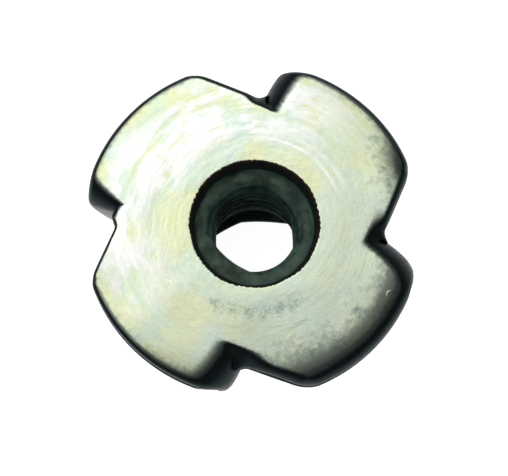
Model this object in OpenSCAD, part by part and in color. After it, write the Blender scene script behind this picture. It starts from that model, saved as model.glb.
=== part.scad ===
// Four-prong tee nut, stamped and drawn from one disc of sheet steel.
// Origin: centre of the barrel's free end. +Z runs up the bore to the flange face. Millimetres.

/* [Flange] */
// Diameter of the flange
flange_d = 17; // [15:0.5:20]
// Thickness of the sheet
sheet = 1.3; // [1:0.1:1.5]
// Height from the barrel's free end to the flange face
height = 8; // [7:0.5:12]
// Width of the roll that blanking leaves round the rim, on the face side
roll_width = 1.4; // [0.8:0.1:1.8]
// Fall of that roll from the face to the rim
roll_fall = 0.3; // [0.1:0.05:0.4]
// Slope that the roll starts with, in degrees
roll_lean = 3; // [2:1:6]

/* [Prongs] */
// Distance of each prong's sheared edge from the bore axis, prong by prong
cut_distance = [6.1, 6.25, 6.6, 6]; // [6:0.05:7]
// Distance from the middle of each sheared edge's line back to the start of its fold
fold_setback = [0.75, 0.4, 0.6, 0.55]; // [0.2:0.05:1.2]
// Slant of each fold line from square to its sheared edge, in degrees
fold_slant = [2, -4, 1, 12]; // [-6:1:18]
// Radius that shearing leaves along the face side of the sheared edge
edge_r = 0.3; // [0.1:0.05:0.5]
// Inside radius of the fold
fold_r = 0.2; // [0.1:0.05:0.4]

/* [Barrel] */
// Outside diameter of the barrel
barrel_d = 6.5; // [6.2:0.1:7]
// Draw radius between the barrel and the underside of the flange
draw_r = 0.8; // [0.4:0.1:1.2]
// Chamfer round the outside of the barrel's free end
end_chamfer = 0.25; // [0.1:0.05:0.4]

/* [Bore] */
// Tapping size of the bore, at the crests of the thread
bore_d = 4.2; // [4:0.05:4.4]
// Diameter of the mouth at the flange face
mouth_d = 6.6; // [6.4:0.1:7]
// Diameter at the foot of the mouth's floor, where the lead-in starts
throat_d = 5; // [4.8:0.1:5.2]
// Depth of the mouth below the flange face
mouth_depth = 1; // [0.8:0.05:1.2]
// Lean of the mouth's wall from the bore axis, in degrees
mouth_lean = 18; // [10:1:25]
// Fall of the mouth's floor towards the bore, in degrees
floor_fall = 12; // [5:1:20]
// Radius between the mouth's wall and its floor
mouth_r = 0.35; // [0.2:0.05:0.4]
// Countersink at the barrel's free end, on the radius
end_sink = 0.3; // [0.1:0.05:0.4]

/* [Hidden] */
$fn = 128;
zinc = "#c8cfc0";
past = 1; // how far a cutting tool runs past what it cuts

flange_r = flange_d / 2;
barrel_r = barrel_d / 2;
bore_r = bore_d / 2;
underside = height - sheet;

// The rim's roll: an arc from the face at roll_lean down to the rim.
roll_r = (roll_width * roll_width + roll_fall * roll_fall)
    / (2 * (roll_fall * cos(roll_lean) - roll_width * sin(roll_lean)));
roll_start = flange_r - roll_width;
roll_centre = [roll_start - roll_r * sin(roll_lean), height - roll_r * cos(roll_lean)];

// The fold: prong i's sheared edge runs square to Y, and its fold line leaves it outwards at fold_slant.
prong_count = len(cut_distance);
bend_r = fold_r + sheet;
neutral_depth = 0.42; // share of the sheet, from the inside of the fold to its unstretched layer
bend_length = (fold_r + neutral_depth * sheet) * PI / 2;
function fold_start(i) = [-fold_setback[i], cut_distance[i]];
function fold_along(i) = [sin(fold_slant[i]), cos(fold_slant[i])];
function fold_across(i) = [-cos(fold_slant[i]), sin(fold_slant[i])];

// The prong is the flap between the sheared edge and the rim, so its tip is where those two meet.
function corner(i) = [-sqrt(flange_r * flange_r - cut_distance[i] * cut_distance[i]), cut_distance[i]];
function tip_along(i) = (corner(i) - fold_start(i)) * fold_along(i);
function tip_across(i) = (corner(i) - fold_start(i)) * fold_across(i);
function drop(across) = bend_r + across - bend_length; // depth below the face of a point of the flap
function prong_depth(i) = drop(tip_across(i));
deepest = max([for (i = [0 : prong_count - 1]) prong_depth(i)]);

// The mouth's section: a leaning wall, a falling floor and the arc that joins them.
floor_end = [throat_d / 2, height - mouth_depth];
wall_top = [mouth_d / 2, height];
wall_dir = [-sin(mouth_lean), -cos(mouth_lean)];
floor_dir = [cos(floor_fall), sin(floor_fall)];
function cross2(a, b) = a.x * b.y - a.y * b.x;
wall_run = cross2(floor_end - wall_top, floor_dir) / cross2(wall_dir, floor_dir);
wall_foot = wall_top + wall_run * wall_dir;
arc_run = mouth_r * tan((90 - mouth_lean - floor_fall) / 2);
wall_tangent = wall_foot - arc_run * wall_dir;
floor_tangent = wall_foot - arc_run * floor_dir;
arc_centre = floor_tangent + mouth_r * [-floor_dir.y, floor_dir.x];

// Disc that everything is blanked from, run on down to the prong tips.
module blank() {
    translate([0, 0, height - deepest - past])
        cylinder(h = deepest + past, r = flange_r);
}

// What blanking rolls away round the rim, on the face side.
module rim_cutter() {
    rotate_extrude()
        difference() {
            translate([roll_centre.x, height - 2 * roll_fall])
                square([roll_width + past, 2 * roll_fall + past]);
            translate(roll_centre) circle(roll_r);
        }
}

// Plan of what prong i leaves open: from the sheared edge and the fold line out past the rim.
module notch_plan(i) {
    polygon([
        fold_start(i),
        fold_start(i) + flange_d * fold_along(i),
        [-flange_d, flange_d],
        [-flange_d, cut_distance[i]],
    ]);
}

// Rolled-over edge along prong i's sheared edge.
module edge_cutter(i) {
    translate([-flange_d, cut_distance[i] - edge_r, height - edge_r])
        rotate([90, 0, 90])
            linear_extrude(flange_d - fold_setback[i])
                difference() {
                    square(edge_r + past);
                    circle(edge_r);
                }
}

module flange() {
    intersection() {
        blank();
        difference() {
            translate([0, 0, underside])
                cylinder(h = sheet, r = flange_r + past);
            for (i = [0 : prong_count - 1]) rotate(i * 360 / prong_count) {
                translate([0, 0, underside - past])
                    linear_extrude(sheet + 2 * past)
                        notch_plan(i);
                edge_cutter(i);
            }
        }
    }
}

// Side view of prong i, along the fold line and up: the sheared edge inside, the rim's arc outside.
module prong_side(i) {
    disc_centre = [-fold_start(i) * fold_along(i), -drop(-fold_start(i) * fold_across(i))];
    intersection() {
        translate(disc_centre) circle(flange_r);
        polygon([
            [0, past],
            [0, 0],
            [-bend_length * tan(fold_slant[i]), -bend_r],
            [tip_along(i), -prong_depth(i)],
            [flange_r, -prong_depth(i)],
            [flange_r, past],
        ]);
    }
}

// Quarter bend and the flat blade below it, before trimming. The fold line is the local Y axis.
module bent_strip() {
    translate([0, 0, -bend_r]) rotate([90, 0, 0]) rotate([0, 0, 90])
        rotate_extrude(angle = 90)
            translate([fold_r, -flange_r]) square([sheet, flange_d]);
    translate([-bend_r, -flange_r, -deepest])
        cube([sheet, flange_d, deepest - bend_r]);
}

module prong(i) {
    intersection() {
        blank();
        translate([fold_start(i).x, fold_start(i).y, height]) rotate(-fold_slant[i])
            intersection() {
                bent_strip();
                translate([-bend_r - past, 0, 0]) rotate([90, 0, 90])
                    linear_extrude(bend_r + past) prong_side(i);
            }
    }
}

module barrel() {
    rotate_extrude() {
        difference() {
            square([barrel_r, height]);
            polygon([[barrel_r - end_chamfer, 0], [barrel_r, end_chamfer], [barrel_r + past, -past]]);
        }
        difference() {
            translate([0, underside - draw_r]) square([barrel_r + draw_r, draw_r + sheet / 2]);
            translate([barrel_r + draw_r, underside - draw_r]) circle(draw_r);
        }
    }
}

// Mouth at the face, lead-in, tapping bore and the countersink at the free end.
module bore() {
    rotate_extrude() {
        polygon([
            [0, height + past],
            [wall_top.x, height + past],
            wall_top,
            wall_tangent,
            arc_centre,
            floor_tangent,
            floor_end,
            [0, floor_end.y],
        ]);
        translate(arc_centre) circle(mouth_r);
        polygon([[0, floor_end.y], floor_end, floor_end - [floor_end.x, floor_end.x]]);
        polygon([[0, -past], [bore_r + end_sink + past, -past], [0, bore_r + end_sink]]);
    }
    translate([0, 0, -past]) cylinder(h = height, r = bore_r);
}

module tee_nut() {
    color(zinc) difference() {
        union() {
            flange();
            for (i = [0 : prong_count - 1]) rotate(i * 360 / prong_count) prong(i);
            barrel();
        }
        rim_cutter();
        bore();
    }
}

tee_nut();
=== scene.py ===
"""Visual model of a four-prong tee nut: a stamped flange, folded prongs and a drawn, threaded barrel.

Lengths inside the builders are millimetres, as a press shop writes them; the finished mesh is in metres.
"""

import logging
from collections.abc import Iterable, Sequence
from dataclasses import dataclass, field, replace
from enum import Enum
from functools import cached_property, partial, reduce
from math import atan2, cos, hypot, pi, radians, sin, sqrt, tan

import bmesh
import bpy
from bmesh.types import BMEdge, BMesh, BMLayerItem, BMVert
from bpy.types import Material, Mesh, Node, NodeOutputs, NodeSocket as Socket, NodeTree, Object, World
from mathutils import Matrix, Vector, noise


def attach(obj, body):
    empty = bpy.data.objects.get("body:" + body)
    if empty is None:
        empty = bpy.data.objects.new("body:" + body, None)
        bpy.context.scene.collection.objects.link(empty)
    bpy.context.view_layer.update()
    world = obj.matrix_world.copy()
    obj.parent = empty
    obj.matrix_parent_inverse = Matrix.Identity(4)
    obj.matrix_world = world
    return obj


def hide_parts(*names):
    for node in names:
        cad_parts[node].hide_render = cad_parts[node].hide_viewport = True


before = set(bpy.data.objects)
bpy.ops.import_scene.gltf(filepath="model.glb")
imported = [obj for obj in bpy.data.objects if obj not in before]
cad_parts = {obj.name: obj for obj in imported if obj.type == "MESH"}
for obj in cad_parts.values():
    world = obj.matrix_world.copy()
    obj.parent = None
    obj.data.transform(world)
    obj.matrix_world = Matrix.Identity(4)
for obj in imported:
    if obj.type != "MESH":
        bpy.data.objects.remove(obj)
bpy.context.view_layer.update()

log = logging.getLogger("tee_nut")

NODE = "tee_nut"
BODY = "root"
MM = 0.001
FULL_TURN = 2 * pi
QUARTER_TURN = pi / 2
SLACK = 1e-3
VIEW_WIDTH = 508
IN_PLAN = (1.0, 1.0, 0.0)

Colour = tuple[float, float, float, float]


class Surface(Enum):
    """The kinds of surface on the nut; the value is the material index."""

    PLATED = 0
    SHEARED = 1
    BORE = 2


def ease(t: float) -> float:
    """Smooth step from 0 to 1."""
    t = min(max(t, 0.0), 1.0)
    return t * t * (3 - 2 * t)


def spread(start: float, stop: float, pitch: float) -> list[float]:
    """Even values from start to stop, both kept, about pitch apart."""
    count = max(1, round(abs(stop - start) / pitch))
    return [start + (stop - start) * k / count for k in range(count + 1)]


def quarter_round(distance: float, radius: float) -> float:
    """Fall of a quarter-round edge at a distance inside it."""
    short = max(radius - distance, 0.0)
    return radius - sqrt(max(radius * radius - short * short, 0.0))


def spin_profile(bm: BMesh, profile: Sequence[tuple[float, float]], steps: int) -> None:
    """Turns an open profile once round Z.

    Args:
        bm: An empty mesh that takes the surface.
        profile: Points of the section as (radius, height), in order.
        steps: Number of facets round the axis.
    """
    verts = [bm.verts.new((r, 0.0, z)) for r, z in profile]
    edges = [bm.edges.new(pair) for pair in zip(verts, verts[1:])]
    bmesh.ops.spin(bm, geom=verts + edges, cent=(0, 0, 0), axis=(0, 0, 1), dvec=(0, 0, 0),
                   angle=FULL_TURN, steps=steps, use_merge=True)


@dataclass(frozen=True)
class Lance:
    """One cut from the rim and the prong that is folded down along it, in the prong's own quarter.

    Sizes are in millimetres. No two prongs on a nut of this kind are lanced and folded quite alike.

    Attributes:
        turn: Which quarter of the nut it is in.
        distance: From the bore's axis to the cut.
        setback: From the middle of the cut's line back to the fold line.
        slant: Turn of the fold line from square to the cut.
        skew: Turn of the whole lance from its quarter.
        root_bend: Outside radius of the bend at the fold line's inner end.
        rim_bend: Outside radius that it comes to further out.
        bend_span: Length of fold line between the two.
        run: From the fold line to the inner end of the cut.
        reach: How far in from the cut the flange is drawn into the bend.
        run_out: How far along the cut it is drawn in.
        lean: Inward lean of the prong's tip.
        tuck: How far the bend draws the rim in.
        edge: Radius of the flange's edge along the cut.
        corner: Droop of the flange's corner between the cut and the rim.
        fillet: From the fold line to the inner corner of the notch.
        lead: How far before the fold line the flap may begin.
    """

    turn: int
    distance: float
    setback: float
    slant: float
    skew: float = 0.0
    root_bend: float = 1.5
    rim_bend: float = 1.5
    bend_span: float = 2.2
    run: float = 0.75
    reach: float = 0.8
    run_out: float = 1.0
    lean: float = 0.0
    tuck: float = 0.2
    edge: float = 0.28
    corner: float = 0.0
    fillet: float = 1.3
    lead: float = 1.2

    @cached_property
    def cut_end(self) -> float:
        """Inner end of the cut."""
        return -self.setback - self.run

    def bend_at(self, p: Vector) -> float:
        """Outside radius of the bend at a local point: it opens or closes from the root to the rim."""
        share = min(max((p - self.start).dot(self.along) / self.bend_span, 0.0), 1.0)
        return self.root_bend + (self.rim_bend - self.root_bend) * share

    @cached_property
    def frame(self) -> Matrix:
        """Turn of this lance's quarter in the nut."""
        return Matrix.Rotation(self.turn * QUARTER_TURN + self.skew, 3, "Z")

    @cached_property
    def back_frame(self) -> Matrix:
        """Turn back into this lance's quarter."""
        return self.frame.transposed()

    def local(self, p: Vector) -> Vector:
        """A point of the flange in this lance's own quarter."""
        return self.back_frame @ p

    def placed(self, p: Vector) -> Vector:
        """A point of this lance's quarter in the nut."""
        return self.frame @ p

    @cached_property
    def start(self) -> Vector:
        """Inner end of the fold line."""
        return Vector((-self.setback, self.distance, 0))

    @cached_property
    def along(self) -> Vector:
        """Direction of the fold line, outwards."""
        return Vector((sin(self.slant), cos(self.slant), 0))

    @cached_property
    def across(self) -> Vector:
        """Direction from the fold line over the flap."""
        return Vector((-cos(self.slant), sin(self.slant), 0))

    def is_flap(self, p: Vector) -> bool:
        """Whether a local point belongs to the flap that is folded down."""
        return p.y > self.distance and (p - self.start).dot(self.across) > -self.lead


@dataclass
class Spot:
    """One point of the flat blank on its way through the press.

    Attributes:
        sheet: The sheet that the point belongs to.
        lance: The lance beside the point.
        p: Place in the lance's quarter of the flat blank.
        depth: Depth below the face: 0 on it and the thickness on the underside.
        flap: Whether the point belongs to the flap, and not to the flange.
    """

    sheet: "StampedSheet"
    lance: Lance
    p: Vector
    depth: float
    flap: bool

    @property
    def from_rim(self) -> float:
        """Distance in from the rim."""
        return max(self.sheet.rim_r - self.p.length, 0.0)

    @property
    def side(self) -> float:
        """Distance in from the cut."""
        return (self.p.y - self.lance.distance) * (1 if self.flap else -1)

    @property
    def beyond(self) -> float:
        """Distance along the cut from its inner end."""
        return self.lance.cut_end - self.p.x

    @property
    def across(self) -> float:
        """Distance from the fold line over the flap."""
        return (self.p - self.lance.start).dot(self.lance.across)

    @property
    def pull(self) -> float:
        """Share of the fold that the flange beside the cut's end is drawn into."""
        near = self.side >= -SLACK and self.across >= -self.lance.lead
        return near * (1 - ease(self.side / self.lance.reach)) * (1 - ease(self.beyond / self.lance.run_out))

    @property
    def face_depth(self) -> float:
        """How far the face lies below its plane: its roll at the rim, crown, waves and rounded edges."""
        s, reach, place = self.sheet, self.p.length, self.lance.placed(self.p)
        lean = 0.5 + 0.5 * cos(atan2(place.y, place.x) - s.roll_heading)
        share = s.roll_least + (1 - s.roll_least) * lean ** s.roll_focus
        depth = s.roll_fall * share * max(0.0, 1 - self.from_rim / s.roll_width) ** s.roll_power
        depth += s.crown * (max(reach - s.fillet_r, 0.0) / (s.rim_r - s.fillet_r)) ** 2
        if not self.flap:
            distance = self.lance.distance
            tip = Vector((-sqrt(s.rim_r ** 2 - distance ** 2), distance, 0))
            depth += self.lance.corner * max(1 - (self.p - tip).length / s.corner_reach, 0.0) ** 2
        swell = max(s.wave_bias + noise.noise(place / s.wave_pitch), 0.0)
        return depth + s.wave * ease((reach - s.wave_from) / s.wave_run) * swell + self.edge_fall

    @property
    def edge_fall(self) -> float:
        """Fall of the rounded edge along the rim and the cut, which run together at the corner."""
        s = self.sheet
        radius = s.tip_r if self.flap else max(s.corner_r, self.lance.edge)
        near_rim, near_cut = radius - self.from_rim, radius - self.side
        if self.beyond < 0 or self.side < -SLACK or near_cut <= 0:
            return quarter_round(self.from_rim, s.rim_edge)
        cut_edge = s.burr_edge if self.flap else self.lance.edge
        if near_rim <= 0:
            return ease(self.beyond / s.edge_lead) * quarter_round(max(self.side, 0.0), cut_edge)
        edge = s.rim_edge + (cut_edge - s.rim_edge) * atan2(near_cut, near_rim) / QUARTER_TURN
        return quarter_round(max(min(self.from_rim, self.side), 0.0), edge)

    def ease_corner(self) -> None:
        """Rounds the plan where the cut meets the rim."""
        radius = self.sheet.tip_r if self.flap else self.sheet.corner_r
        over = Vector((radius - self.from_rim, radius - max(self.side, 0.0)))
        if self.p.x > 0 or self.side < -SLACK or min(over) < 0 or not over.length:
            return
        move = over * (1 - max(over) / over.length)
        out, up = self.p.normalized(), Vector((0, -1 if self.flap else 1, 0))
        share = out.dot(up)
        back = out * (move.x - share * move.y) + up * (move.y - share * move.x)
        self.p = self.p - back / (1 - share * share)

    def bent(self) -> Vector:
        """Folds the point down with the flap; a point of the flange follows the bend only.

        Returns:
            Its place in the lance's quarter, in millimetres.
        """
        s, lance = self.sheet, self.lance
        clear = s.gap * ease(self.beyond / s.gap_lead) * (1 - ease(self.side / s.gap_reach))
        tuck = ease((self.across + s.tuck_lead) / s.bend_length) * ease(1 - self.from_rim / s.tuck_reach)
        rel = self.p - lance.start + lance.along * (clear - lance.tuck * tuck)
        across = rel.dot(lance.across)
        outside, lift = s.bend_r, 0.0
        if self.depth < 0.5 * s.thickness:
            outside = lance.bend_at(self.p)
            end = s.bend_r - outside + outside * s.bend_length / s.bend_r
            level = s.bend_r - outside + max(end - s.bend_length, 0.0)
            if end < s.bend_length:
                level = s.bend_r - outside - s.bend_r * cos(s.bend_angle(end, s.bend_r))
            lift = level * (1 - ease((across - end) / (s.lift_run + s.lift_stretch * abs(level))))
        angle = s.bend_angle(across, outside)
        radius = outside - self.depth
        reach = min(across, s.bend_r - outside) + radius * sin(angle)
        height = s.face_z - outside + radius * cos(angle)
        if self.flap and angle >= QUARTER_TURN:
            drop = max(across - s.bend_length, 0.0)
            plain = s.bend_angle(across, s.bend_r)
            height = s.face_z - s.bend_r + (s.bend_r - self.depth) * cos(plain) + lift - drop
            reach -= tan(lance.lean) * drop * drop / (drop + s.lean_run)
        flat = lance.start + lance.along * rel.dot(lance.along) + lance.across * reach
        return Vector((flat.x, flat.y, height))

    def ease_root(self, here: Vector) -> Vector:
        """Fills the inner corner of the notch with a small radius.

        Args:
            here: Where the point of the flange is so far.

        Returns:
            Where it comes to.
        """
        s, lance = self.sheet, self.lance
        beside = max(lance.start.x + lance.across.x * lance.fillet - here.x, 0.0)
        near = 1 - min(hypot(beside, here.y - lance.distance) / s.root_reach, 1.0)
        return here + Vector((0, s.root_push * ease(self.beyond / s.root_lead) * near ** 2, 0))

    def pressed(self) -> Vector:
        """Takes the point through the press.

        Returns:
            Its place in the finished nut, in millimetres.
        """
        s, lance = self.sheet, self.lance
        if self.depth < 0.5 * s.thickness:
            self.depth = self.face_depth
        self.ease_corner()
        if self.flap:
            return s.shifted(lance.placed(self.bent()))
        here = Vector((self.p.x, self.p.y, s.face_z - self.depth))
        if self.pull > 0:
            held = replace(self, p=Vector((max(self.p.x, lance.cut_end), self.p.y, 0)))
            here += (held.bent() - Vector((held.p.x, held.p.y, here.z))) * self.pull
        return s.shifted(lance.placed(self.ease_root(here)))


@dataclass
class StampedSheet:
    """Flange and prongs: the flat blank is lanced four times and then pressed to shape.

    Sizes are in millimetres.

    Attributes:
        rim_r: Radius of the blank.
        limit_r: Radius that the finished outline stays within.
        weld_r: Radius where the barrel's mouth joins the face.
        fillet_r: Radius where the barrel's draw radius joins the underside.
        thickness: Of the sheet.
        face_z: Height of the face over the barrel's free end.
        offset: How far the outline stands off the bore.
        offset_run: Length, out from fillet_r, over which that offset comes in.
        steps: Facets round the axis.
        cell: Width of the blank's rings.
        fine_cell: Width of the finer rings near the rim.
        fine_from: Radius where the finer rings start.
        fine_to: Radius where they end.
        weld_rings: Distances of the first rings out from weld_r.
        rim_rings: Distances of the last rings in from the rim.
        strip_ends: Ends of the strip that a cut's rows are made in.
        strip_half: Half the width of that strip.
        cut_slack: How near the cut a corner counts as on it.
        cut_rows: Distances of the rows from the cut, outwards where they are positive.
        roll_width: Width of the roll round the rim.
        roll_fall: Fall of the roll where it is deepest.
        roll_least: Share of that fall on the opposite side.
        roll_heading: Heading of the deepest side.
        roll_focus: Power that gathers the roll round that side.
        roll_power: Power of the roll's section.
        rim_edge: Radius of the edge along the rim.
        crown: Fall of the face from fillet_r out to the rim.
        corner_reach: How far in from a corner its droop reaches.
        burr_edge: Radius of the flap's edge along the cut.
        edge_lead: Length along the cut over which its edge comes to its radius.
        fold_r: Inside radius of a plain fold.
        neutral: Share of the thickness, from the inside of the fold to its unstretched layer.
        lift_run: Length over which an open or tight fold comes back to a plain one, below the bend.
        lift_stretch: What each millimetre of the difference in level adds to that length.
        lean_run: Drop over which a prong's lean comes in.
        corner_r: Radius in plan of the flange's corner between the cut and the rim.
        tip_r: Radius in plan of the prong's tip.
        root_push: How far the inner corner of the notch is filled.
        root_reach: How far round that corner the filling reaches.
        root_lead: Length along the cut over which the filling comes in.
        tuck_reach: How far in from the rim a prong's tuck reaches.
        tuck_lead: How far before the fold line the tuck starts.
        gap: How far the flap stands clear of the cut.
        gap_lead: Length along the cut over which that gap opens.
        gap_reach: How far from the cut the sheet moves to make it.
        wave: Depth of the waves in the face.
        wave_pitch: Size of a wave.
        wave_bias: What is added to the noise that makes them; what is then below zero stays flat.
        wave_from: Radius where the waves start.
        wave_run: Length over which they come in.
        lances: The four cuts, with their prongs.
    """

    rim_r: float = 8.42
    limit_r: float = 8.495
    weld_r: float = 3.24
    fillet_r: float = 4.05
    thickness: float = 1.3
    face_z: float = 8.0
    offset: tuple[float, float, float] = (-0.066, -0.131, 0.0)
    offset_run: float = 1.5
    steps: int = 360
    cell: float = 0.13
    fine_cell: float = 0.1
    fine_from: float = 7.3
    fine_to: float = 8.2
    weld_rings: tuple[float, ...] = (0.0, 0.07, 0.16)
    rim_rings: tuple[float, ...] = (0.22, 0.17, 0.12, 0.08, 0.045, 0.02, 0.006, 0.0)
    strip_ends: tuple[float, float] = (-6.1, -0.1)
    strip_half: float = 0.95
    cut_slack: float = 1e-4
    cut_rows: tuple[float, ...] = (0.0, -0.01, -0.035, -0.08, -0.14, -0.21, -0.29, -0.38, -0.48, -0.6,
                                   -0.74, 0.012, 0.04, 0.085)
    roll_width: float = 1.9
    roll_fall: float = 0.42
    roll_least: float = 0.2
    roll_heading: float = radians(-21.6)
    roll_focus: float = 2.5
    roll_power: float = 3.2
    rim_edge: float = 0.31
    crown: float = 0.09
    corner_reach: float = 1.9
    burr_edge: float = 0.07
    edge_lead: float = 0.35
    fold_r: float = 0.2
    neutral: float = 0.42
    lift_run: float = 1.0
    lift_stretch: float = 1.2
    lean_run: float = 0.5
    corner_r: float = 0.42
    tip_r: float = 0.16
    root_push: float = 0.4
    root_reach: float = 0.55
    root_lead: float = 0.3
    tuck_reach: float = 1.1
    tuck_lead: float = 0.35
    gap: float = 0.05
    gap_lead: float = 0.25
    gap_reach: float = 0.6
    wave: float = 0.026
    wave_pitch: float = 2.4
    wave_bias: float = 0.6
    wave_from: float = 3.5
    wave_run: float = 1.5
    lances: tuple[Lance, ...] = (
        Lance(turn=0, distance=6.24, setback=0.58, slant=radians(3), skew=radians(1),
              root_bend=1.4, rim_bend=1.55, reach=0.5, run_out=1.7, tuck=0.18, edge=0.3),
        Lance(turn=1, distance=6.12, setback=0.57, slant=radians(-5), skew=radians(-1),
              root_bend=0.45, rim_bend=1.55, run=0.95, reach=0.35, run_out=0.8, lean=radians(5),
              tuck=0.1, edge=0.18, fillet=1.85),
        Lance(turn=2, distance=6.61, setback=0.3, slant=radians(5), skew=radians(4),
              root_bend=1.75, rim_bend=2.2, run=0.5, run_out=2.8, lean=radians(5), tuck=0.35,
              edge=0.5),
        Lance(turn=3, distance=6.05, setback=0.72, slant=radians(12), root_bend=1.4, rim_bend=1.9,
              run_out=1.8, tuck=0.12, edge=0.36, corner=0.18),
    )

    @cached_property
    def bend_r(self) -> float:
        """Outside radius of a plain fold."""
        return self.fold_r + self.thickness

    @cached_property
    def bend_length(self) -> float:
        """Flat length that goes into the fold."""
        return (self.fold_r + self.neutral * self.thickness) * QUARTER_TURN

    @property
    def flat_rings(self) -> list[float]:
        """Radii of the blank's rings, closer together at the rim."""
        rings = [self.weld_r + step for step in self.weld_rings]
        rings += spread(rings[-1] + self.fine_cell, self.fillet_r, self.cell)
        rings += spread(self.fillet_r, self.fine_from, self.cell)[1:]
        rings += spread(self.fine_from, self.fine_to, self.fine_cell)[1:]
        return rings + [self.rim_r - step for step in self.rim_rings]

    def strip_geometry(self, bm: BMesh, lance: Lance) -> list:
        """Finds what one cut passes through.

        Args:
            bm: The blank.
            lance: The cut.

        Returns:
            Faces round the cut, with their edges and corners.
        """
        inner, outer = self.strip_ends
        faces = []
        for f in bm.faces:
            p = lance.local(f.calc_center_median())
            if inner < p.x < outer and abs(p.y - lance.distance) < self.strip_half:
                faces.append(f)
        edges = {e for f in faces for e in f.edges}
        verts = {v for f in faces for v in f.verts}
        return faces + list(edges) + list(verts)

    def lance_blank(self, bm: BMesh) -> None:
        """Cuts the four lances, with rows beside each for its rolled edges.

        Args:
            bm: The blank.
        """
        for lance in self.lances:
            way = lance.placed(Vector((0, 1, 0)))
            strip = self.strip_geometry(bm, lance)
            for row in self.cut_rows:
                strip = bmesh.ops.bisect_plane(bm, geom=strip, dist=self.cut_slack, plane_no=way,
                                               plane_co=way * (lance.distance + row))["geom"]
            cut = []
            for e in (item for item in strip if isinstance(item, BMEdge)):
                ends = [lance.local(v.co) for v in e.verts]
                on_line = all(abs(p.y - lance.distance) < 2 * self.cut_slack for p in ends)
                if on_line and all(p.x <= lance.cut_end for p in ends):
                    cut.append(e)
            bmesh.ops.split_edges(bm, edges=cut)
        bmesh.ops.triangulate(bm, faces=[f for f in bm.faces if len(f.verts) > 4])

    def mark_flaps(self, bm: BMesh) -> BMLayerItem:
        """Numbers the corners that belong to a flap: 1 to 4, and 0 for the flange.

        Args:
            bm: The lanced blank.

        Returns:
            The layer that holds the numbers.
        """
        layer = bm.verts.layers.int.new("flap")
        for number, lance in enumerate(self.lances, 1):
            for f in bm.faces:
                if lance.is_flap(lance.local(f.calc_center_median())):
                    for v in f.verts:
                        v[layer] = number
        return layer

    def thicken(self, bm: BMesh) -> None:
        """Gives the blank its thickness and opens it where the barrel joins.

        Args:
            bm: The lanced blank.
        """
        made = bmesh.ops.extrude_face_region(bm, geom=bm.faces[:], use_keep_orig=True)
        lower = [v for v in made["geom"] if isinstance(v, BMVert)]
        bmesh.ops.translate(bm, verts=lower, vec=(0, 0, -self.thickness))
        half = 0.5 * self.thickness
        gone = []
        for f in bm.faces:
            reach = max(v.co.to_2d().length for v in f.verts)
            heights = [v.co.z for v in f.verts]
            low, wall = max(heights) < -half, max(heights) - min(heights) > half
            if (low and reach < self.fillet_r + SLACK) or (wall and reach < self.weld_r + SLACK):
                gone.append(f)
            elif wall:
                f.material_index = Surface.SHEARED.value
        bmesh.ops.delete(bm, geom=gone, context="FACES")

    def bend_angle(self, across: float, radius: float) -> float:
        """Angle through which the sheet has turned, beyond the line where a bend of that radius starts."""
        length = radius * self.bend_length / self.bend_r
        return min(max((across - self.bend_r + radius) / length, 0.0), 1.0) * QUARTER_TURN

    def nearest_lance(self, flat: Vector) -> Lance:
        """The lance in whose quarter a point of the flange lies."""
        diagonal = Vector((-1, 1, 0))
        return max(self.lances, key=lambda lance: lance.local(flat).dot(diagonal))

    def shifted(self, p: Vector) -> Vector:
        """Moves the outline a little off the bore, as the blanking tool left it, and within the rim.

        Args:
            p: Position in the nut.

        Returns:
            Position that it comes to.
        """
        p = p + Vector(self.offset) * ease((p.to_2d().length - self.fillet_r) / self.offset_run)
        scale = min(self.limit_r / p.to_2d().length, 1.0)
        return Vector((p.x * scale, p.y * scale, p.z))

    def press(self, bm: BMesh, layer: BMLayerItem) -> None:
        """Moves every point of the blank to its place in the finished nut.

        Args:
            bm: The blank.
            layer: Numbers of the flaps.
        """
        for v in bm.verts:
            flat = Vector((v.co.x, v.co.y, 0))
            lance = self.lances[v[layer] - 1] if v[layer] else self.nearest_lance(flat)
            v.co = Spot(self, lance, lance.local(flat), -v.co.z, v[layer] > 0).pressed()

    def build(self) -> BMesh:
        """Makes the flange and prongs.

        Returns:
            Their mesh, in millimetres.
        """
        bm = bmesh.new()
        spin_profile(bm, [(r, 0.0) for r in self.flat_rings], self.steps)
        self.lance_blank(bm)
        layer = self.mark_flaps(bm)
        self.thicken(bm)
        self.press(bm, layer)
        return bm


@dataclass(frozen=True)
class Flat:
    """A stretch of the bore's wall, between two heights, that stands nearer the axis than the rest.

    A straightness of 1 makes it a plane, and 0 keeps it round.
    """

    low: float
    high: float
    distance: float
    heading: float
    straightness: float


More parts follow.
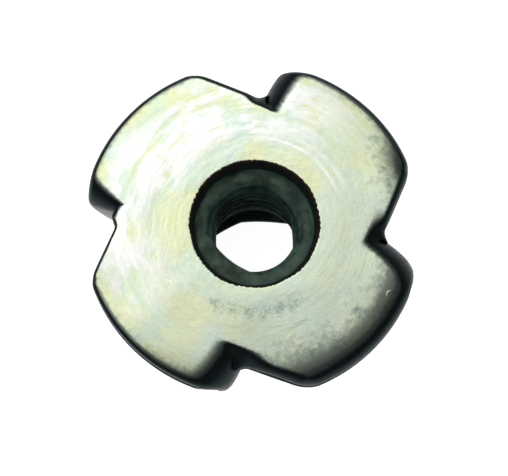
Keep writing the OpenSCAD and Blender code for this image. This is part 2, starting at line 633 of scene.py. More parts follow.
@dataclass
class ThreadedBarrel:
    """Mouth, threaded bore, free end and outside of the barrel, as one turned section.

    Sizes are in millimetres.

    Attributes:
        face_z: Height of the flange's face over the free end.
        weld_r: Radius where the mouth joins the sheet's face.
        fillet_r: Radius where the draw radius joins the sheet's underside.
        underside: Height of that underside.
        mouth_r: Radius of the mouth at the face.
        mouth_lean: Lean of the mouth's wall from the axis.
        mouth_start: How far down the wall its first row lies.
        edge_stops: Angles of the rows round the mouth's edge, in degrees.
        floor_fall: Fall of the mouth's floor towards the bore.
        floor_arc: Radius between the wall and the floor.
        throat_r: Radius of the floor's inner end.
        throat_z: Height of the floor's inner end.
        dark_r: Radius within which a wall below the throat belongs to the bore.
        bore_r: Radius of the thread's crests.
        root_r: Radius of its roots.
        pitch: Height of one turn of the thread.
        phase: Share of a turn by which the thread is turned.
        crest: Share of half a pitch that a crest takes.
        flank: Share of half a pitch that a flank takes.
        end_sink: How far the bore opens at the free end, on the radius.
        sink_depth: Height up to which it opens.
        flats: Stretches of the wall that stand nearer the axis.
        outside_r: Outside radius.
        end_chamfer: Chamfer round the outside of the free end.
        steps: Facets round the axis.
        row: Height of the rows in the bore.
        end_row: Width of the rows on the free end.
        outside_row: Height of the rows up the outside.
    """

    face_z: float = 8.0
    weld_r: float = 3.24
    fillet_r: float = 4.05
    underside: float = 6.7
    mouth_r: float = 3.2
    mouth_lean: float = radians(18)
    mouth_start: float = 0.06
    edge_stops: tuple[float, ...] = (0, 25, 50, 72)
    floor_fall: float = radians(12)
    floor_arc: float = 0.35
    throat_r: float = 2.5
    throat_z: float = 7.0
    dark_r: float = 2.7
    bore_r: float = 2.1
    root_r: float = 2.34
    pitch: float = 0.8
    phase: float = 0.25
    crest: float = 0.2
    flank: float = 0.75
    end_sink: float = 0.45
    sink_depth: float = 2.8
    flats: tuple[Flat, ...] = (
        Flat(low=0.0, high=0.3, distance=1.985, heading=radians(115), straightness=0.75),
        Flat(low=0.0, high=0.3, distance=2.06, heading=radians(137), straightness=0.7),
        Flat(low=2.6, high=5.2, distance=1.96, heading=radians(23), straightness=0.75),
        Flat(low=2.6, high=5.2, distance=1.94, heading=radians(208), straightness=0.65),
        Flat(low=5.6, high=6.95, distance=1.995, heading=radians(254), straightness=0.5),
    )
    outside_r: float = 3.25
    end_chamfer: float = 0.25
    steps: int = 360
    row: float = 0.095
    end_row: float = 0.2
    outside_row: float = 0.35

    def mouth(self) -> list[tuple[float, float]]:
        """Draws the section from the face down the mouth to the throat.

        Returns:
            Its points as (radius, height).
        """
        edge_r = self.weld_r - self.mouth_r
        points = [(self.weld_r - edge_r * sin(a), self.face_z - edge_r + edge_r * cos(a))
                  for a in map(radians, self.edge_stops)]
        wall = Vector((-sin(self.mouth_lean), -cos(self.mouth_lean)))
        floor = Vector((cos(self.floor_fall), sin(self.floor_fall)))
        top, end = Vector((self.mouth_r, self.face_z)), Vector((self.throat_r, self.throat_z))
        gap = end - top
        run = (gap.x * floor.y - gap.y * floor.x) / (wall.x * floor.y - wall.y * floor.x)
        foot = top + wall * run
        trim = self.floor_arc * tan((QUARTER_TURN - self.mouth_lean - self.floor_fall) / 2)
        first, last = foot - wall * trim, foot - floor * trim
        centre = last + self.floor_arc * Vector((-floor.y, floor.x))
        start = atan2(first.y - centre.y, first.x - centre.x)
        stop = atan2(last.y - centre.y, last.x - centre.x)
        points += [tuple((top + wall * self.mouth_start).lerp(first, t / 4)) for t in range(5)]
        points += [(centre.x + self.floor_arc * cos(start + (stop - start) * t / 6),
                    centre.y + self.floor_arc * sin(start + (stop - start) * t / 6)) for t in range(1, 7)]
        points += [tuple(last.lerp(end, t / 4)) for t in range(1, 5)]
        return points

    def section(self) -> list[tuple[float, float]]:
        """Draws the whole section, from the face through the bore to the flange's underside.

        Returns:
            Its points as (radius, height).
        """
        points = self.mouth()
        points += [(self.bore_r, z) for z in spread(self.throat_z, 0.0, self.row)[1:]]
        flat_end = self.outside_r - self.end_chamfer
        points += [(r, 0.0) for r in spread(self.bore_r + self.end_sink, flat_end, self.end_row)[1:]]
        points += [(self.outside_r, self.end_chamfer)]
        draw = self.fillet_r - self.outside_r
        wall = spread(self.end_chamfer, self.underside - draw, self.outside_row)
        points += [(self.outside_r, z) for z in wall[1:]]
        points += [(self.fillet_r - draw * cos(a), self.underside - draw + draw * sin(a))
                   for a in (QUARTER_TURN * k / 10 for k in range(1, 11))]
        return points

    def thread_radius(self, angle: float, z: float) -> float:
        """Radius of the bore's wall, with a right-hand thread that runs out into the lead-in and the sink.

        Args:
            angle: Heading of the place from the axis.
            z: Height of the place.

        Returns:
            Radius.
        """
        turn = (z / self.pitch - angle / FULL_TURN + self.phase) % 1.0
        height = ease((abs(turn - 0.5) * 2 - self.crest) / self.flank)
        thread = self.bore_r + (self.root_r - self.bore_r) * height
        lead_in = self.throat_r - (self.throat_z - z)
        sink = self.bore_r + self.end_sink * max(1 - z / self.sink_depth, 0.0)
        radius = max(thread, lead_in, sink)
        for flat in self.flats:
            toward = cos(angle - flat.heading)
            if flat.low <= z <= flat.high and toward > 0.5:
                radius = min(radius, flat.distance / toward ** flat.straightness)
        return radius

    def cut_thread(self, verts: Iterable[BMVert]) -> None:
        """Pushes the bore's wall out to the thread.

        Args:
            verts: All corners of the barrel.
        """
        for v in verts:
            radius = v.co.to_2d().length
            if radius < self.bore_r + SLACK and v.co.z < self.throat_z - SLACK:
                scale = self.thread_radius(atan2(v.co.y, v.co.x), v.co.z) / radius
                v.co.x *= scale
                v.co.y *= scale

    def build(self) -> BMesh:
        """Makes the barrel.

        Returns:
            Its mesh, in millimetres.
        """
        bm = bmesh.new()
        spin_profile(bm, self.section(), self.steps)
        self.cut_thread(bm.verts)
        for f in bm.faces:
            middle = f.calc_center_median()
            reach = middle.to_2d().length
            below_r = self.bore_r + self.end_sink if middle.z < SLACK else self.dark_r
            if reach < (below_r if middle.z < self.throat_z else self.weld_r):
                f.material_index = Surface.BORE.value
        return bm


def in_order(values: Iterable[object]) -> dict[str, object]:
    """Names for a node's first inputs and what they take."""
    return {"in%d" % number: value for number, value in enumerate(values)}


class NodeSketch:
    """Lays out one node tree with short calls."""

    def __init__(self, tree: NodeTree) -> None:
        """Starts on an emptied tree."""
        self.tree = tree
        tree.nodes.clear()

    @classmethod
    def of(cls, owner: Material | World) -> "NodeSketch":
        """Starts on the nodes of a material or a world."""
        owner.use_nodes = True
        return cls(owner.node_tree)

    def node(self, kind: str, **values: object) -> Node:
        """Adds a node.

        Args:
            kind: Node type without its ShaderNode prefix.
            values: Node properties by name, and sockets by name with "in_" in front or by number after "in".

        Returns:
            The node.
        """
        made = self.tree.nodes.new(kind if kind.startswith("NodeGroup") else "ShaderNode" + kind)
        for name, value in values.items():
            if name.startswith("in_"):
                self.put(made.inputs[name[3:].replace("_", " ").title()], value)
            elif name.startswith("in") and name[2:].isdigit():
                self.put(made.inputs[int(name[2:])], value)
            else:
                setattr(made, name, value)
        return made

    def put(self, socket: Socket, value: object) -> None:
        """Links a socket to another, or sets its value.

        Args:
            socket: The input.
            value: A socket, a node that stands for its first output, or a constant.
        """
        if isinstance(value, Node):
            value = value.outputs[0]
        if isinstance(value, Socket):
            self.tree.links.new(value, socket)
        else:
            socket.default_value = value

    def math(self, operation: str, *values: object) -> Socket:
        """Result of a Math node."""
        return self.node("Math", operation=operation, **in_order(values)).outputs[0]

    def total(self, *values: object) -> Socket:
        """Sum of several values."""
        return reduce(partial(self.math, "ADD"), values)

    def product(self, *values: object) -> Socket:
        """Product of several values."""
        return reduce(partial(self.math, "MULTIPLY"), values)

    def vector(self, operation: str, *values: object) -> Node:
        """Adds a Vector Math node that gives a vector."""
        return self.node("VectorMath", operation=operation, **in_order(values))

    def measure(self, operation: str, *values: object) -> Socket:
        """Number that a Vector Math node gives, such as a length or a distance."""
        return self.vector(operation, *values).outputs["Value"]

    def part(self, vector: object, number: int) -> Socket:
        """One of a vector's three parts."""
        return self.node("SeparateXYZ", in0=vector).outputs[number]

    def ramp(self, value: object, low: object, high: object, to_low: float = 0.0,
             to_high: float = 1.0) -> Socket:
        """Maps a value from one range to another, clamped."""
        return self.node("MapRange", clamp=True, **in_order((value, low, high, to_low, to_high))).outputs[0]

    def mix(self, share: object, a: object, b: object, blend: str = "MIX") -> Socket:
        """Mixes two colours."""
        return self.node("Mix", data_type="RGBA", blend_type=blend, in0=share, in6=a, in7=b).outputs[2]

    def noise(self, vector: object, scale: float, detail: float = 4.0, roughness: float = 0.6) -> Socket:
        """Value of a noise texture."""
        sizes = {"in_scale": scale, "in_detail": detail, "in_roughness": roughness}
        return self.node("TexNoise", in_vector=vector, **sizes).outputs["Fac"]

    def millimetres(self) -> Node:
        """Object coordinates in millimetres."""
        place = self.node("TexCoord").outputs["Object"]
        return self.node("VectorMath", operation="SCALE", in0=place, in_scale=1 / MM)

    def group(self, tree: NodeTree, **values: object) -> NodeOutputs:
        """Places a shared effect and gives its outputs."""
        values = {"in_" + name: value for name, value in values.items()}
        return self.node("Group", node_tree=tree, **values).outputs

    def bump(self, height: object) -> Node:
        """Adds a Bump node for a height in millimetres."""
        return self.node("Bump", in_strength=1.0, in_distance=MM, in_height=height)


def put_in_scene(made: Object) -> Object:
    """Puts an object in the scene and gives it back."""
    bpy.context.scene.collection.objects.link(made)
    return made


def colour(r: float, g: float, b: float) -> Colour:
    """An opaque colour."""
    return (r, g, b, 1.0)


def open_group(name: str, inputs: Sequence[str], outputs: Sequence[str]) -> tuple[NodeSketch, list[Socket]]:
    """Makes an empty node group with its sockets.

    Args:
        name: Name of the effect.
        inputs: Names of its inputs. Place is a vector, and the others are numbers.
        outputs: Names of its outputs. Colour is a colour, and the others are numbers.

    Returns:
        A sketch of the group, and the sockets that its inputs come from.
    """
    tree = bpy.data.node_groups.new(name, "ShaderNodeTree")
    kinds = {"Place": "NodeSocketVector", "Colour": "NodeSocketColor"}
    for in_out, sockets in (("INPUT", inputs), ("OUTPUT", outputs)):
        for socket in sockets:
            kind = kinds.get(socket, "NodeSocketFloat")
            tree.interface.new_socket(name=socket, in_out=in_out, socket_type=kind)
    sketch = NodeSketch(tree)
    start = sketch.node("NodeGroupInput")
    return sketch, [start.outputs[socket] for socket in inputs]


class Effects:
    """The shared effects, each built once, when it is first used.

    The sides are the directions, in the nut's plan, of the painted shade on one side (the painted highlight
    streaks lie opposite it), of the painted shade at the rim, of the smudge beside the mouth (towards which
    the face is also painted a little darker) and of the painted highlights on the fine arcs. Places and radii
    are in millimetres.
    """

    sides = ((0.93, -0.368, 0.0), (0.997, -0.114, 0.0), (0.397, -0.918, 0.0), (0.114, 0.998, 0.0))
    warm_patch = (-3.95, -1.71, 8.0)
    smudge_r = 4.45
    arc_pitch = 0.21
    film_green = colour(0.62, 0.72, 0.56)
    film_yellow = colour(0.69, 0.72, 0.45)
    film_blue = colour(0.58, 0.72, 0.65)

    @cached_property
    def grain(self) -> NodeTree:
        """Fine grain and coarser mottling of a pressed steel surface, for a size of grain."""
        s, (place, size) = open_group("surface_grain", ("Place", "Size"), ("Fine", "Mottle"))
        scaled = s.node("VectorMath", operation="SCALE", in0=place, in_scale=s.math("DIVIDE", 1.0, size))
        s.node("NodeGroupOutput", in_fine=s.noise(scaled, 1.0), in_mottle=s.noise(scaled, 0.3))
        return s.tree

    @cached_property
    def rings(self) -> NodeTree:
        """Broken arcs round the bore, as a draw punch leaves them: fine scratches and broad streaks."""
        s, (place, pitch) = open_group("drawing_marks", ("Place", "Pitch"), ("Fine", "Broad"))
        flat = s.vector("MULTIPLY", place, IN_PLAN)
        rows = s.math("DIVIDE", s.measure("LENGTH", flat), pitch)
        way = s.node("SeparateXYZ", in0=s.vector("NORMALIZE", flat)).outputs
        marks = []
        for across, along in ((1.0, 2.2), (0.26, 2.8)):
            polar = (s.product(rows, across), s.product(way[0], along), s.product(way[1], along))
            marks.append(s.noise(s.node("CombineXYZ", **in_order(polar)), 1.0, 3.0))
        s.node("NodeGroupOutput", in_fine=marks[0], in_broad=marks[1])
        return s.tree

    @cached_property
    def film(self) -> NodeTree:
        """Thin passivated film: pale green with yellow and bluish clouds, and one warm patch."""
        s, (place,) = open_group("plating_film", ("Place",), ("Colour",))
        rim = s.ramp(s.measure("LENGTH", place), 9.8, 11.3, 0.0, 0.12)
        patch = s.ramp(s.measure("DISTANCE", place, self.warm_patch), 2.2, 0.6, 0.0, 0.16)
        warm = s.ramp(s.total(s.noise(place, 0.5, 2.0, 0.5), rim, patch), 0.44, 0.64)
        cool = s.ramp(s.noise(s.vector("ADD", place, (7, 3, 1)), 0.4, 2.0, 0.5), 0.46, 0.66)
        film = s.mix(warm, s.mix(cool, self.film_green, self.film_blue), self.film_yellow)
        s.node("NodeGroupOutput", in_colour=film)
        return s.tree

    @cached_property
    def turned(self) -> NodeTree:
        """Share by which a surface is turned away from the flange's face, with a ragged border."""
        s, (ragged, start, stop) = open_group("turned_away", ("Ragged", "Start", "Stop"), ("Share",))
        level = s.part(s.node("TexCoord").outputs["Normal"], 2)
        s.node("NodeGroupOutput", in_share=s.ramp(s.total(level, ragged), start, stop))
        return s.tree

    @cached_property
    def stain(self) -> NodeTree:
        """Painted shade along one side and at the rim on that side, a grey smudge by the mouth, painted
        highlight streaks on the opposite side, painted highlights on fine arcs, and a tone darker towards the
        rim with painted shade towards the smudge's side.
        """
        s, (place,) = open_group("side_stain", ("Place",), ("Share", "Side", "Rubbed", "Arcs", "Tone"))
        flat = s.vector("MULTIPLY", place, IN_PLAN)
        reach = s.measure("LENGTH", flat)
        side, shaded_rim_side, smudge_side, arcs_side = (s.measure("DOT_PRODUCT", flat, way) for way in self.sides)
        to_smudge, to_arcs = s.math("DIVIDE", smudge_side, reach), s.math("DIVIDE", arcs_side, reach)
        cloud = s.noise(place, 0.8, 4.0, 0.65)
        torn, frayed, rough = (s.total(reach, s.ramp(cloud, 0.3, 0.7, -size, size))
                               for size in (0.9, 0.5, 0.05))
        # Painted shade: the rim on one side is painted grey, with a torn inner border.
        rim = s.product(s.ramp(torn, 5.5, 7.4, 0.0, 0.62), s.ramp(shaded_rim_side, 2.2, 3.8))
        band = s.ramp(s.math("ABSOLUTE", s.math("SUBTRACT", reach, self.smudge_r)), 0.6, 0.1)
        grit = s.ramp(s.noise(place, 5.5, 4.0, 0.65), 0.3, 0.64, 0.0, 0.65)
        smudge = s.product(band, s.ramp(to_smudge, 0.74, 0.95), grit)
        # Painted shade beyond the mouth, towards the smudge's side.
        shade = s.product(s.ramp(to_smudge, 0.66, 0.95, 0.0, 0.13), s.ramp(reach, 3.4, 4.2))
        # Painted highlight streaks lie in a belt round the mouth, on the side opposite the painted shade,
        # weaker near the warm patch.
        clear_of_warm_patch = s.ramp(s.measure("DISTANCE", place, self.warm_patch), 0.8, 2.2, 0.15, 1.0)
        belt = s.product(s.ramp(reach, 3.9, 4.9), s.ramp(frayed, 8.0, 7.0), clear_of_warm_patch)
        # Painted highlights on fine arcs on one side of the bore.
        rows = s.ramp(s.math("PINGPONG", rough, self.arc_pitch), 0.08, 0.18)
        span = s.product(s.ramp(reach, 4.0, 4.2), s.ramp(reach, 5.2, 4.8), s.ramp(to_arcs, 0.72, 0.9))
        # Outputs, in order: the painted shade at the rim together with the smudge; the painted shade along
        # one side; the painted highlight streaks; the painted highlights on the arcs; a tone darker towards
        # the rim, with painted shade towards the smudge's side.
        s.node("NodeGroupOutput",
               in_share=s.math("MAXIMUM", rim, smudge),
               in_side=s.ramp(side, 0.0, 5.5),
               in_rubbed=s.product(belt, s.ramp(side, 0.3, -3.0)),
               in_arcs=s.product(rows, span, s.ramp(cloud, 0.35, 0.55, 0.2, 0.9)),
               in_tone=s.math("SUBTRACT", s.ramp(reach, 6.6, 8.2, 1.0, 0.9), shade))
        return s.tree

    def turned_away(self, s: NodeSketch, start: float, stop: float, ragged: object = 0.0) -> Socket:
        """Share of a surface's turn away from the face, between two levels of its normal."""
        return s.group(self.turned, start=start, stop=stop, ragged=ragged)["Share"]


@dataclass(frozen=True)
class ZincPlate:
    """Bright zinc plating with its thin film. Where the surface tilts away from the face, in the folds and at
    the rolled rim, its colour is painted dull grey and then nearly black: painted shade for the dark
    surroundings that these slopes reflect.

    Sizes are in millimetres. The ring is a small raised circle on the face, near the rim.
    """

    name: str = "zinc_plate"
    roughness: float = 0.26
    grain_size: float = 0.09
    mark_pitch: float = 0.2
    # The steep-shade and grey-shade colours and the blade and underside colours are painted shade; the bright
    # rubbed colour is a painted highlight.
    steep_shade_colour: Colour = colour(0.018, 0.026, 0.028)
    shade_and_smudge_grey: Colour = colour(0.20, 0.25, 0.215)
    plain_colour: Colour = colour(0.61, 0.69, 0.56)
    highlight_colour: Colour = colour(0.82, 0.83, 0.80)
    blade_shade_colour: Colour = colour(0.30, 0.34, 0.29)
    underside_shade_colour: Colour = colour(0.48, 0.54, 0.46)
    ring_place: tuple[float, float, float] = (7.53, -0.6, 0.0)
    ring_r: float = 0.17
    ring_line: float = 0.08
    ring_height: float = 0.012

    def build(self, effects: Effects) -> Material:
        """Makes the material.

        Args:
            effects: The shared effects.

        Returns:
            The material.
        """
        material = bpy.data.materials.new(self.name)
        s = NodeSketch.of(material)
        place = s.millimetres()
        grain = s.group(effects.grain, place=place, size=self.grain_size)
        rings = s.group(effects.rings, place=place, pitch=self.mark_pitch)
        stain = s.group(effects.stain, place=place)
        streaks = s.ramp(rings["Broad"], 0.41, 0.52)
        # Painted highlights: the broad drawing streaks on the side opposite the painted shade, and the fine
        # arcs, are painted near white.
        streak_and_arc_highlights = s.math("MAXIMUM", s.product(streaks, stain["Rubbed"]), stain["Arcs"])
        film = s.group(effects.film, place=place)["Colour"]
        # The film fades to the plain, slightly darker colour towards the painted-shade side.
        tint = s.mix(s.product(stain["Side"], 0.65), film, self.plain_colour)
        tint = s.mix(s.product(streaks, 0.25), tint, self.plain_colour)
        tint = s.mix(streak_and_arc_highlights, tint, self.highlight_colour)
        # Tone: drawing marks, grain and mottle, a tone darker towards the rim, and painted shade towards the
        # smudge's side.
        tone = s.product(s.ramp(rings["Fine"], 0.25, 0.75, 0.94, 1.06),
                         s.ramp(grain["Fine"], 0.25, 0.75, 0.96, 1.04),
                         s.ramp(grain["Mottle"], 0.25, 0.75, 0.94, 1.04), stain["Tone"])
        tint = s.mix(1.0, tint, tone, "MULTIPLY")
        speckle = s.math("SUBTRACT", grain["Mottle"], 0.5)
        # Painted shade: where the surface tilts away from the face, in the folds and at the rolled rim, it is
        # painted dull grey and then nearly black, for the dark surroundings that it reflects.
        away = effects.turned_away(s, 0.997, 0.96)
        bent = effects.turned_away(s, 0.987, 0.915, s.product(speckle, away, 0.03))
        # The grey also takes the painted shade at the rim on one side, and the smudge by the mouth.
        tilt_rim_shade_and_smudge = s.math("MAXIMUM", away, stain["Share"])
        grey_shade_and_smudge = s.product(s.ramp(s.total(tilt_rim_shade_and_smudge, s.product(speckle, 1.6)), 0.15, 0.95), s.ramp(tilt_rim_shade_and_smudge, 0.0, 0.25))
        # Painted shade on the fine marks, on the painted-shade side.
        hairs = s.product(s.ramp(rings["Fine"], 0.6, 0.68), stain["Side"], 0.5)
        # Painted shade: the prongs' upright blades are painted darker.
        blade_shade = s.product(effects.turned_away(s, 0.35, 0.05), s.ramp(s.part(place, 2), 6.3, 3.2))
        tint = s.mix(s.math("MAXIMUM", grey_shade_and_smudge, hairs), tint, self.shade_and_smudge_grey)
        tint = s.mix(bent, tint, self.steep_shade_colour)
        tint = s.mix(blade_shade, tint, self.blade_shade_colour)
        # Painted shade: surfaces that face down are painted darker.
        tint = s.mix(effects.turned_away(s, -0.5, -0.85), tint, self.underside_shade_colour)
        rough = s.total(s.product(bent, 0.12), s.ramp(grain["Mottle"], 0.3, 0.7, -0.04, 0.08), self.roughness)
        middle = s.measure("DISTANCE", s.vector("MULTIPLY", place, IN_PLAN), self.ring_place)
        ring = s.ramp(s.math("ABSOLUTE", s.math("SUBTRACT", middle, self.ring_r)), self.ring_line, 0.0)
        marks = s.total(s.product(rings["Fine"], 0.003), s.product(rings["Broad"], 0.03))
        relief = s.total(s.product(grain["Fine"], 0.0016), s.product(grain["Mottle"], 0.0025),
                         s.product(ring, self.ring_height),
                         s.product(marks, s.ramp(stain["Side"], 0.0, 1.0, 1.0, 0.3)))
        shader = s.node("BsdfPrincipled", in_metallic=1.0, in_base_color=tint, in_roughness=rough,
                        in_normal=s.bump(relief))
        s.node("OutputMaterial", in_surface=shader)
        return material


@dataclass(frozen=True)
class ShearedSteel:
    """Cut walls of the sheet: burnished above and torn below. Their colours are painted nearly black: painted
    shade for the dark surroundings that these upright walls reflect.
    """

    name: str = "sheared_steel"
    # Both colours are painted shade; the second is only the less dark of the two.
    dark: Colour = colour(0.016, 0.022, 0.024)
    light: Colour = colour(0.05, 0.06, 0.058)
    edge_tint: Colour = colour(0.3, 0.3, 0.3)
    roughness: float = 0.45
    grain_size: float = 0.12
    tear_size: float = 0.07
    tear_height: float = 0.012
    tear_stretch: tuple[float, float, float] = (1.0, 1.0, 0.12)

    def build(self, effects: Effects) -> Material:
        """Makes the material.

        Args:
            effects: The shared effects.

        Returns:
            The material.
        """
        material = bpy.data.materials.new(self.name)
        s = NodeSketch.of(material)
        place = s.millimetres()
        grain = s.group(effects.grain, place=place, size=self.grain_size)
        drawn = s.vector("MULTIPLY", place, self.tear_stretch)
        tears = s.group(effects.grain, place=drawn, size=self.tear_size)
        share = s.product(s.ramp(tears["Fine"], 0.35, 0.7), s.ramp(grain["Mottle"], 0.3, 0.7, 0.4, 1.0))
        shader = s.node("BsdfPrincipled", in_metallic=1.0, in_roughness=self.roughness,
                        in_specular_tint=self.edge_tint, in_base_color=s.mix(share, self.dark, self.light),
                        in_normal=s.bump(s.product(tears["Fine"], self.tear_height)))
        s.node("OutputMaterial", in_surface=shader)
        return material


@dataclass(frozen=True)
class BoreSteel:
    """Oily steel inside the nut: a mouth wall painted nearly black, a greenish ledge below it and the tapped
    bore. Their dark colours are partly the oily steel and partly painted shade for the hollow: the mouth wall
    nearly black, the steep walls darker than the up-facing ledge, and the bore darker towards the free end.
    """

    name: str = "bore_steel"
    # The wall colour is painted shade for the mouth's hollow.
    wall: Colour = colour(0.026, 0.03, 0.026)
    edge: Colour = colour(0.07, 0.04, 0.032)
    ledge: Colour = colour(0.10, 0.15, 0.115)
    tapped: Colour = colour(0.045, 0.112, 0.094)
    roughness: float = 0.7
    gloss: float = 0.05
    grain_size: float = 0.15
    grain_height: float = 0.012
    mark_pitch: float = 0.14

    def build(self, effects: Effects) -> Material:
        """Makes the material.

        Args:
            effects: The shared effects.

        Returns:
            The material.
        """
        material = bpy.data.materials.new(self.name)
        s = NodeSketch.of(material)
        place = s.millimetres()
        height = s.part(place, 2)
        grain = s.group(effects.grain, place=place, size=self.grain_size)
        rings = s.group(effects.rings, place=place, pitch=self.mark_pitch)
        speckle = s.math("SUBTRACT", grain["Mottle"], 0.5)
        turned = effects.turned_away(s, 0.88, 0.45, s.product(speckle, 0.3))
        # Painted shade: above this height the mouth wall is painted nearly black.
        shaded_mouth_wall = s.ramp(s.total(height, s.product(speckle, 0.1)), 7.2, 7.3)
        torn = s.ramp(s.total(height, s.product(speckle, 0.12)), 7.86, 7.93)
        # Oily mottling; the bore is also painted darker towards the free end, as painted shade deep in the
        # hollow.
        oil_and_depth_shade = s.ramp(s.noise(place, 0.9, 2.0, 0.5), 0.35, 0.68, 0.35, 1.9)
        oil_and_depth_shade = s.product(oil_and_depth_shade, s.ramp(height, 0.8, 3.4, 0.3, 1.0))
        side = s.mix(shaded_mouth_wall, s.mix(1.0, self.tapped, oil_and_depth_shade, "MULTIPLY"), self.wall)
        ledge = s.mix(1.0, self.ledge, s.ramp(rings["Broad"], 0.35, 0.65, 0.55, 1.35), "MULTIPLY")
        # Painted shade: surfaces that turn away from the face take the darker wall colours, and the up-facing
        # ledge its lighter colour.
        tint = s.mix(torn, s.mix(turned, ledge, side), self.edge)
        tint = s.mix(1.0, tint, s.ramp(grain["Mottle"], 0.3, 0.7, 0.75, 1.25), "MULTIPLY")
        shader = s.node("BsdfPrincipled", in_metallic=0.0, in_roughness=self.roughness, in_base_color=tint,
                        in_normal=s.bump(s.product(grain["Fine"], self.grain_height)))
        shader.inputs["Specular IOR Level"].default_value = self.gloss
        s.node("OutputMaterial", in_surface=shader)
        return material


@dataclass
class TeeNut:
    """The whole nut, as one closed piece.

    Attributes:
        name: Name of the piece.
        sheet: Flange and prongs.
        barrel: Barrel, with the bore through it.
        seam_slack: How near two corners of the seam have to be to become one, in millimetres.
        sharp: Angle of an edge past which it is shaded sharp.
        ragged: Size of the tears in the mouth's edge, in millimetres.
        ragged_reach: How far on either side of that edge they reach, in millimetres.
        ragged_from: Height that they stay above, in millimetres.
        tears: Frequency and share of each kind of tear.
    """

    name: str = "stamped_nut"
    sheet: StampedSheet = field(default_factory=StampedSheet)
    barrel: ThreadedBarrel = field(default_factory=ThreadedBarrel)
    seam_slack: float = 2e-3
    sharp: float = radians(58)
    ragged: float = 0.045
    ragged_reach: float = 0.3
    ragged_from: float = 7.4
    tears: tuple[tuple[float, float], ...] = ((22, 1.0), (55, 0.6), (2.6, 1.6))

    def shape(self) -> Mesh:
        """Joins the sheet and the barrel into one closed mesh.

        Returns:
            The mesh, in metres.
        """
        mesh = bpy.data.meshes.new(self.name)
        bm = self.sheet.build()
        barrel = self.barrel.build()
        barrel.to_mesh(mesh)
        barrel.free()
        bm.from_mesh(mesh)
        seam = [v for v in bm.verts if v.is_boundary]
        bmesh.ops.remove_doubles(bm, verts=seam, dist=self.seam_slack)
        bmesh.ops.recalc_face_normals(bm, faces=bm.faces[:])
        self.roughen_mouth(bm)
        for f in bm.faces:
            f.smooth = True
        for e in bm.edges:
            e.smooth = e.calc_face_angle(0.0) < self.sharp
        log.info("nut mesh: %d faces, %d open edges, %.1f mm3", len(bm.faces),
                 sum(not e.is_manifold for e in bm.edges), bm.calc_volume(signed=True))
        bmesh.ops.scale(bm, vec=(MM, MM, MM), verts=bm.verts[:])
        bm.to_mesh(mesh)
        bm.free()
        return mesh

    def roughen_mouth(self, bm: BMesh) -> None:
        """Leaves the mouth's edge a little ragged, as the draw punch tears it.

        Args:
            bm: The joined mesh, in millimetres.
        """
        for v in bm.verts:
            reach = v.co.to_2d().length
            near = 1 - abs(reach - self.sheet.weld_r) / self.ragged_reach
            if near > 0 and v.co.z > self.ragged_from:
                way = Vector((v.co.x, v.co.y, 0)) / reach
                tear = sum(share * noise.noise(way * pitch) for pitch, share in self.tears)
                v.co += way * (self.ragged * near * tear)

    def build(self, effects: Effects) -> Object:
        """Makes the piece, dresses it and puts it in the scene.

        Args:
            effects: The shared effects.

        Returns:
            The piece.
        """
        piece = put_in_scene(bpy.data.objects.new(self.name, self.shape()))
        for finish in (ZincPlate(), ShearedSteel(), BoreSteel()):
            piece.data.materials.append(finish.build(effects))
        return piece


@dataclass(frozen=True)
class SoftBox:
    """A lamp that spans two pairs of angles from straight above, in degrees.

    They lean towards the view's upper left and its upper right.
    """

    name: str
    left: tuple[float, float]
    right: tuple[float, float]
    radiance: float
    distance: float = 0.5

    def build(self, upper_left: Vector, upper_right: Vector) -> None:
        """Puts the lamp up, facing the nut.

        Args:
            upper_left: Level direction to the view's upper left.
            upper_right: Level direction to the view's upper right.
        """
        middle = [radians(sum(pair) / 2) for pair in (self.left, self.right)]
        half = [radians(abs(pair[1] - pair[0]) / 2) for pair in (self.left, self.right)]
        way = Vector((0, 0, 1)) + upper_left * tan(middle[0]) + upper_right * tan(middle[1])
        way.normalize()
        data = bpy.data.lights.new(self.name, "AREA")
        data.shape = "RECTANGLE"
        data.size, data.size_y = (2 * self.distance * tan(h) for h in half)
        data.energy = self.radiance * data.size * data.size_y * pi
        x_axis = (upper_left - way * upper_left.dot(way)).normalized()
        turn = Matrix((x_axis, way.cross(x_axis), way)).transposed().to_4x4()
        lamp = put_in_scene(bpy.data.objects.new(self.name, data))
        lamp.matrix_world = Matrix.Translation(way * self.distance) @ turn


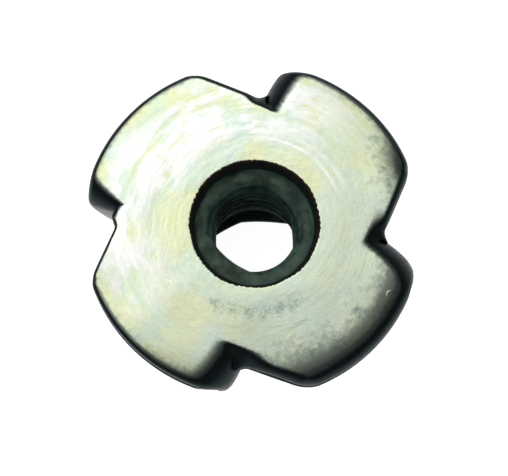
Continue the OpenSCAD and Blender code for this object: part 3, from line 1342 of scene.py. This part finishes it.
@dataclass
class Studio:
    """Camera, floor, lamps and world.

    The camera's place is in millimetres, and its clipping, the floor and the lamps are in metres.
    """

    elevation: float = radians(77)
    azimuth: float = radians(23.4)
    distance: float = 130.0
    pixels_per_mm: float = 20.36
    shift_right: float = 0.018
    shift_up: float = 0.708
    face_z: float = 8.0
    sensor: float = 36.0
    clip_start: float = 0.005
    clip_end: float = 100.0
    floor_r: float = 4.0
    floor_glow: float = 0.96
    floor_paint: Colour = colour(0.6, 0.6, 0.6)
    horizon_tone: Colour = colour(0.95, 0.95, 0.95)
    room_tone: Colour = colour(0.18, 0.18, 0.18)
    horizon: tuple[float, float] = (0.08, 0.16)
    boxes: tuple[SoftBox, ...] = (
        SoftBox("key_box", (-1, 46), (-22, 40), 0.93),
        SoftBox("hot_box", (12.5, 44), (-14, 28), 0.5),
    )

    def axes(self) -> tuple[Vector, Vector]:
        """Level directions to the view's right and away from the camera."""
        return (Vector((cos(self.azimuth), sin(self.azimuth), 0)),
                Vector((-sin(self.azimuth), cos(self.azimuth), 0)))

    def camera(self) -> None:
        """Puts the camera where it looks down on the flange face."""
        right, forward = self.axes()
        level = Vector((0, 0, 1))
        back = level * sin(self.elevation) - forward * cos(self.elevation)
        up = forward * sin(self.elevation) + level * cos(self.elevation)
        target = level * self.face_z - right * self.shift_right - up * self.shift_up
        data = bpy.data.cameras.new("camera")
        data.sensor_width = self.sensor
        data.lens = self.pixels_per_mm * self.distance / VIEW_WIDTH * data.sensor_width
        data.clip_start, data.clip_end = self.clip_start, self.clip_end
        camera = put_in_scene(bpy.data.objects.new("camera", data))
        camera.matrix_world = (Matrix.Translation((target + back * self.distance) * MM)
                               @ Matrix((right, up, back)).transposed().to_4x4())
        bpy.context.scene.camera = camera

    def floor_material(self) -> Material:
        """Makes a pale floor that reads as white and still takes the nut's shadow.

        Returns:
            The material.
        """
        material = bpy.data.materials.new("floor_paint")
        s = NodeSketch.of(material)
        paths = s.node("LightPath").outputs
        seen = s.math("MAXIMUM", paths["Is Camera Ray"], paths["Is Glossy Ray"])
        seen = s.math("MAXIMUM", seen, paths["Is Transmission Ray"])
        glow = s.node("Emission", in_color=colour(1, 1, 1), in_strength=s.product(seen, self.floor_glow))
        paint = s.node("BsdfDiffuse", in_color=self.floor_paint)
        s.node("OutputMaterial", in_surface=s.node("AddShader", in0=glow, in1=paint))
        return material

    def floor(self) -> None:
        """Lays the pale floor that the nut stands on."""
        bm = bmesh.new()
        bmesh.ops.create_circle(bm, cap_ends=True, segments=96, radius=self.floor_r)
        mesh = bpy.data.meshes.new("floor")
        bm.to_mesh(mesh)
        bm.free()
        mesh.materials.append(self.floor_material())
        put_in_scene(bpy.data.objects.new("floor", mesh))

    def world(self) -> None:
        """Dim room with a pale band at the horizon, which continues the floor in low views."""
        world = bpy.data.worlds.new("room")
        s = NodeSketch.of(world)
        height = s.part(s.node("TexCoord").outputs["Generated"], 2)
        tone = s.mix(s.ramp(height, *self.horizon), self.horizon_tone, self.room_tone)
        s.node("OutputWorld", in_surface=s.node("Background", in_color=tone))
        bpy.context.scene.world = world

    def build(self) -> None:
        """Makes the whole studio."""
        self.camera()
        self.floor()
        self.world()
        right, forward = self.axes()
        upper_left, upper_right = (forward - right).normalized(), (forward + right).normalized()
        for box in self.boxes:
            box.build(upper_left, upper_right)
        bpy.context.scene.view_settings.view_transform = "Standard"


def main() -> None:
    """Builds the nut and its studio."""
    logging.basicConfig(level=logging.INFO, format="%(name)s: %(message)s")
    nut = TeeNut().build(Effects())
    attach(nut, BODY)
    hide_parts(NODE)
    log.info("piece %s stands for %s", nut.name, NODE)
    Studio().build()


if __name__ == "__main__":
    main()
